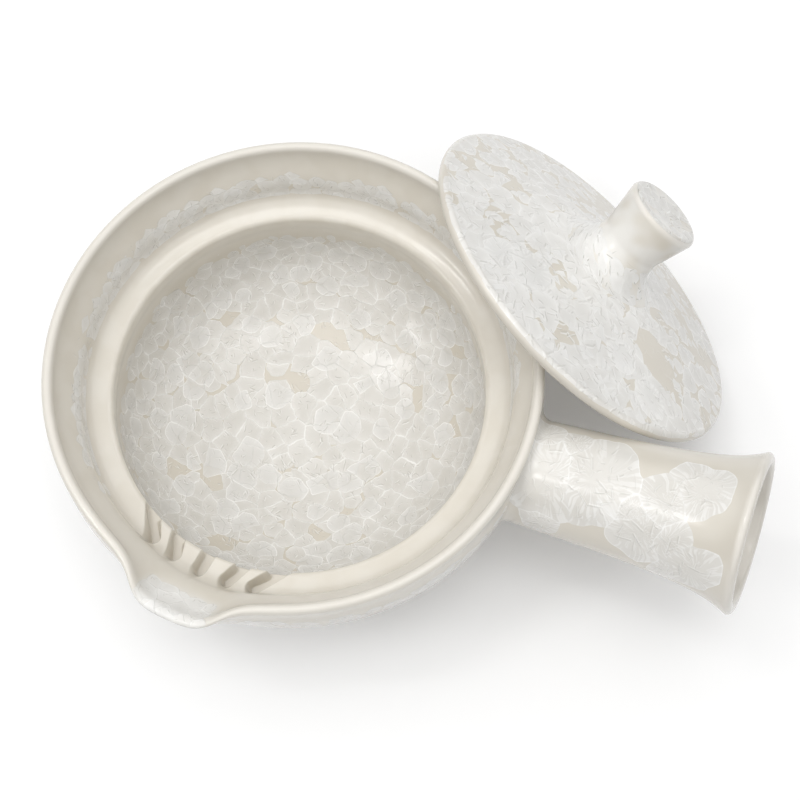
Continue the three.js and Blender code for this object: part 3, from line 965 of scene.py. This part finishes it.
# Crystals lie thickest over the plate, painted lighter than the bowl's as painted light, most on its front.
# Towards its back and right they are fewer and darker, as painted shade, and near the front edge is an oval
# patch with next to no crystals.
LIT_LID_CORE = (0.785, 0.776, 0.752, 1)
LIT_LID_CRYSTAL = (0.885, 0.878, 0.858, 1)
BACK_TURN = math.radians(105)
BACK_STARTS = (5, 30)
BALD_CENTRE = (-4.5, 26.0)
BALD_REACH = (5.5, 8.0)
EDGE_GROWTH = (0.3, 1.1)

# Layers of shards: their shift on the map, their spacing and how wide they open, in degrees
SHARD_LAYERS = ((13.0, 5.2, 75), (37.0, 7.0, 60))

material, place, cover, thinness_and_light, painted_shade = new_glaze("ivory glaze covered by shards of crystal")
look = plain_glaze(place, painted_shade)
tones = paint_over(LIT_LID_CORE, SHADED_CORE, painted_shade), paint_over(LIT_LID_CRYSTAL, SHADED_CRYSTAL, painted_shade)
drifting = wander(place, reach=2.0, grain=3.0)
flakes = grow(drifting, spacing=5.0, reach=(2.4, 8.0), missing=0.1, cover=cover)
look = lay(look, flakes, tones, frost=0.9, ribs=0.4, relief=0)
for shift, spacing, opening in SHARD_LAYERS:
    shifted = place.vector("ADD", (shift, 2.3 * shift, 0.0))
    shards = grow(wander(shifted, 1.2, 3.0), spacing, (2.0, 6.0), 0.25, cover, opening)
    look = lay(look, shards, tones, frost=0.92, ribs=0.8, relief=0.06)
fans = grow_fans(drifting, LID_FANS, cover.ramp(0.0, 0.3))
look = lay(look, fans, tones, frost=0.9, ribs=1.6, relief=0, reach=4.0)
wavy = wander(shifted, reach=1.2, grain=2.0)
look = bristle(look, wavy, spacing=3.0, length=2.2, width=0.60, pale=0.8, dark=0.25, where=cover)
wavy = wander(place, reach=1.2, grain=2.0)
look = bristle(look, wavy, spacing=2.2, length=1.3, width=0.36, pale=0.8, dark=0.35, where=cover)
fire(material, look, thinness_and_light)
grown_part = np.where(is_top, 1.0, is_edge * smooth(*EDGE_GROWTH, lid_profile[:, 1]))[:, None]
lid_turns = np.linspace(0, 2 * math.pi, LID_COLUMNS, endpoint=False)
towards_back = (0.5 + 0.5 * np.cos(lid_turns - BACK_TURN)) * smooth(*BACK_STARTS, lid_profile[:, :1])
across, along = lid_profile[:, :1] * np.sin(lid_turns), lid_profile[:, :1] * np.cos(lid_turns)
from_bald = np.hypot((across - BALD_CENTRE[0]) / BALD_REACH[0], (along - BALD_CENTRE[1]) / BALD_REACH[1])
bald = 1 - smooth(0.7, 1.1, from_bald)
plate = turned_on_lid(
    "cone_lid",
    lid_profile,
    LID_COLUMNS,
    np.ones(len(lid_profile), bool),
    {
        # Painted shade: fewer crystals and darker glaze towards the back and right, and darker glaze on the
        # rounded edge
        "growth": grown_part * (1 - 0.5 * towards_back) * (1 - 0.85 * bald),
        "thin_and_lit": np.where(is_edge, 0.2, 0.0)[:, None],
        "painted_shade": np.maximum(towards_back, 0.35 * is_edge[:, None]),
    },
    material,
)
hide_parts("lid_plate")

# Lid knob.
# Porcelain, thrown solid and stuck to the middle of the plate with slip, on a wide flared foot. Its neck is
# slim, its edge is rounded and its top is slightly dished.
KNOB_HEIGHT = 25.6
KNOB_TOP_RADIUS = 9.6
KNOB_NECK_RADIUS = 7.8
KNOB_FOOT_RADIUS = 16.5
KNOB_FOOT_RISE = 8.0
KNOB_EDGE_RADIUS = 1.5
KNOB_DISH = 0.5
KNOB_SUNK = 0.35
KNOB_COLUMNS = 120

foot_height = np.interp(KNOB_FOOT_RADIUS, top_side[::-1, 0], top_side[::-1, 1])
neck_height = foot_height + KNOB_FOOT_RISE
foot_edge = (KNOB_FOOT_RADIUS, foot_height - KNOB_SUNK)
foot_pulls = (KNOB_FOOT_RADIUS - 4.4, foot_height + 0.8), (KNOB_NECK_RADIUS + 0.2, foot_height + 2.6)
neck_starts = (KNOB_NECK_RADIUS, neck_height)
edge_starts = (KNOB_TOP_RADIUS, KNOB_HEIGHT - KNOB_EDGE_RADIUS)
edge_centre = (KNOB_TOP_RADIUS - KNOB_EDGE_RADIUS, KNOB_HEIGHT - KNOB_EDGE_RADIUS)
edge_ends = (KNOB_TOP_RADIUS - KNOB_EDGE_RADIUS, KNOB_HEIGHT)
dish_bottom = (0, KNOB_HEIGHT - KNOB_DISH)
knob_side = np.vstack([
    straight((0, foot_height + 0.6), foot_edge, 5),
    bend(foot_edge, *foot_pulls, neck_starts, 24),
    straight(neck_starts, edge_starts, 22),
])
knob_edge = arc(edge_centre, KNOB_EDGE_RADIUS, 0, math.pi / 2, 10)
dish = bow(edge_ends, (KNOB_TOP_RADIUS / 2, KNOB_HEIGHT - KNOB_DISH), dish_bottom, 20)
knob_profile = np.vstack([knob_side, knob_edge, dish, [dish_bottom]])
knob_heights = knob_profile[:, 1]

# Crystals have grown on the flared foot and on the top, and the glaze ran thin off the edge. The top is
# painted darker and the neck a little darker in its crease, both as painted shade
EDGE_ROWS_BELOW_TOP = 6
FOOT_GROWTH_STOP = (neck_height - 3.5, neck_height - 0.5)
THIN_EDGE = (KNOB_HEIGHT - 2.4, KNOB_HEIGHT - 1.2)
NECK_SHADE = (neck_height - 1, neck_height + 1)
on_top = np.arange(len(knob_profile)) >= len(knob_side) + EDGE_ROWS_BELOW_TOP
foot_growth = 0.95 * (1 - smooth(*FOOT_GROWTH_STOP, knob_heights))
material, place, cover, thinness_and_light, painted_shade = new_glaze("ivory glaze of the knob")
look = plain_glaze(place, painted_shade)
milky = paint_over(look[0], CRYSTAL, place.vector("SCALE", 0.12).noise(1.0).ramp(0.3, 0.6) * 0.7)
drifting = wander(place, reach=1.6, grain=3.0)
flakes = grow(drifting, spacing=3.4, reach=(1.5, 4.5), missing=0.1, cover=cover)
look = lay((milky, look[1]), flakes, crystal_tones(painted_shade), frost=0.9, ribs=0.5, relief=0.05)
wavy = wander(place, reach=0.8, grain=2.5)
look = bristle(look, wavy, spacing=1.9, length=1.0, width=0.28, pale=0.8, dark=0.8, where=cover)
fire(material, look, thinness_and_light)
knob = turned_on_lid(
    "flared_knob",
    knob_profile,
    KNOB_COLUMNS,
    on_top,
    {
        "growth": np.where(on_top, 0.9, foot_growth)[:, None],
        "thin_and_lit": (0.5 * smooth(*THIN_EDGE, knob_heights) * ~on_top)[:, None],
        "painted_shade": np.where(on_top, 0.8, 0.3 * smooth(*NECK_SHADE, knob_heights))[:, None],
    },
    material,
)
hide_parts("lid_knob")

# Table top and studio light.
# A white table in a white room, under five soft lamps: two high above it and three lower ones on the left.
# A dark wall stands round the table, out of view.
TABLE_REACH = 3.0
TABLE_DROP = 0.0002
TABLE_LIFT = 0.10
TABLE_WHITE = (0.88, 0.88, 0.88, 1)
FAR_TABLE = (0.24, 0.42)
WORLD_STRENGTH = 0.92

table = bpy.data.objects.new("table_top", bpy.data.meshes.new("table_top"))
corners = [(x * TABLE_REACH, y * TABLE_REACH, -TABLE_DROP) for x, y in ((-1, -1), (1, -1), (1, 1), (-1, 1))]
table.data.from_pydata(corners, [], [(0, 1, 2, 3)])
bpy.context.scene.collection.objects.link(table)
white = bpy.data.materials.new("white table")
white.use_nodes = True
white.node_tree.nodes.clear()
start = Wire(white.node_tree)


def seen(start):
    """1 for rays from the camera and for mirrored or passed ones, else 0"""
    path = start.node("LightPath", {}, {}, "Is Camera Ray")
    return path.most(path.sibling("Is Glossy Ray")).most(path.sibling("Is Transmission Ray"))


cloth = start.node("BsdfDiffuse", {}, {"Color": TABLE_WHITE})
lift = start.node("Emission", {}, {"Color": (1, 1, 1, 1), "Strength": seen(start) * TABLE_LIFT})
both = start.node("AddShader", {}, {0: cloth, 1: lift})
# Far from the pot the table is seen as plain white, like the backdrop
from_pot = start.node("TexCoord", {}, {}, "Object").vector("LENGTH", None, "Value")
is_far = from_pot.ramp(*FAR_TABLE) * start.node("LightPath", {}, {}, "Is Camera Ray")
plain_white = start.node("Emission", {}, {"Color": (1, 1, 1, 1), "Strength": 1.0})
seen_table = start.node("MixShader", {}, {0: is_far, 1: both, 2: plain_white})
output = white.node_tree.nodes.new("ShaderNodeOutputMaterial")
white.node_tree.links.new(seen_table.socket, output.inputs["Surface"])
table.data.materials.append(white)

world = bpy.data.worlds.new("studio")
world.use_nodes = True
bpy.context.scene.world = world
backdrop = world.node_tree.nodes["Background"]
backdrop.inputs["Color"].default_value = (1, 1, 1, 1)
around = Wire(world.node_tree)
strength = seen(around) * (1 - WORLD_STRENGTH) + WORLD_STRENGTH
world.node_tree.links.new(strength.socket, backdrop.inputs["Strength"])


def lamp(name, place, size, power, in_gloss=True):
    """Soft box that looks at the pot, its long side level with the photograph's width"""
    light = bpy.data.lights.new(name, "AREA")
    light.shape = "RECTANGLE"
    light.size, light.size_y = size
    light.energy = power
    holder = bpy.data.objects.new(name, light)
    back = Vector(place).normalized()
    photo_width = Vector((math.cos(VIEW_AZIMUTH), math.sin(VIEW_AZIMUTH), 0))
    width = photo_width.cross(back).normalized().cross(back) * -1
    turning = Matrix((width, back.cross(width), back)).transposed()
    holder.matrix_world = Matrix.Translation(place) @ turning.to_4x4()
    holder.visible_glossy = in_gloss
    bpy.context.scene.collection.objects.link(holder)


# The dark wall keeps light off the pot's lower sides and darkens the glaze where it is seen at a glance
WALL_DISTANCE = 0.9
WALL_HEIGHT = 0.45
WALL_GREY = (0.06, 0.06, 0.06, 1)
WALL_POSTS = 48
posts = [
    (WALL_DISTANCE * math.cos(turn), WALL_DISTANCE * math.sin(turn))
    for turn in np.linspace(0, 2 * math.pi, WALL_POSTS)
]
ring = [(*post, height) for height in (0, WALL_HEIGHT) for post in posts]
panels = [(i, i + WALL_POSTS, i + WALL_POSTS + 1, i + 1) for i in range(WALL_POSTS - 1)]
wall = bpy.data.objects.new("dark_wall", bpy.data.meshes.new("dark_wall"))
wall.data.from_pydata(ring, [], panels)
bpy.context.scene.collection.objects.link(wall)
dark = bpy.data.materials.new("dark wall")
dark.use_nodes = True
dark.node_tree.nodes["Principled BSDF"].inputs["Base Color"].default_value = WALL_GREY
dark.node_tree.nodes["Principled BSDF"].inputs["Roughness"].default_value = 0.9
wall.data.materials.append(dark)
wall.visible_camera = False

lamp("broad lamp", (-0.14, 0.08, 1.20), (0.9, 0.9), 2.6, in_gloss=False)
lamp("soft box", (0.08, 0.01, 1.20), (0.66, 0.26), 1.5)
lamp("window lamp", (-0.36, -0.03, 0.95), (0.26, 0.05), 0.60)
lamp("small lamp", (-0.57, -0.365, 0.80), (0.16, 0.16), 0.65)
lamp("side lamp", (-0.60, -0.30, 0.90), (0.5, 0.5), 0.4, in_gloss=False)

bpy.context.scene.view_settings.view_transform = "Standard"

bpy.context.view_layer.update()
